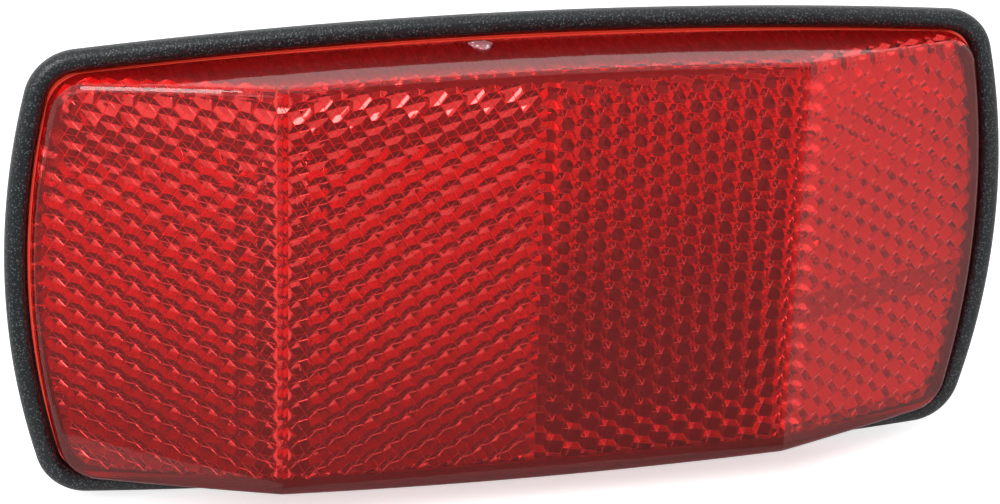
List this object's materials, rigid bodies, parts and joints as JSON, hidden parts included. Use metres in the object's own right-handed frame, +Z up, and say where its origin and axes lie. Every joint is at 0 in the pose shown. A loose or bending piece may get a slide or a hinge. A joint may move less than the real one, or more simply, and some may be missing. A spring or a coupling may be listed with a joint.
{
  "type": "bicycle rear reflector",
  "caption": "Wide red prismatic reflector with sloping wings in a black rimmed housing, with captive bolts at the back for a luggage carrier.",
  "frame": {"origin": "centre of the mounting pad on the back of the housing, where it lies against the carrier's plate", "axes": "+Y out of the back towards the bicycle, so the lens faces -Y; +Z up; +X to the right for someone who faces the lens"},
  "size_m": [0.106, 0.0307, 0.0508],
  "materials": {
    "lens_plastic": "clear red acrylic, polished, moulded in one piece with its prisms",
    "cover_plastic": "white moulded plastic sheet behind the prisms",
    "housing_plastic": "black moulded plastic with a fine grain",
    "zinc_steel": "bright zinc-plated steel"
  },
  "bodies": {
    "root": {"housing": "housing_plastic", "lens": "lens_plastic", "prism_cover": "cover_plastic", "bolt_left": "zinc_steel", "washer_left": "zinc_steel", "lock_washer_left": "zinc_steel", "nut_left": "zinc_steel", "bolt_right": "zinc_steel", "washer_right": "zinc_steel", "lock_washer_right": "zinc_steel", "nut_right": "zinc_steel"}
  },
  "joints": []
}
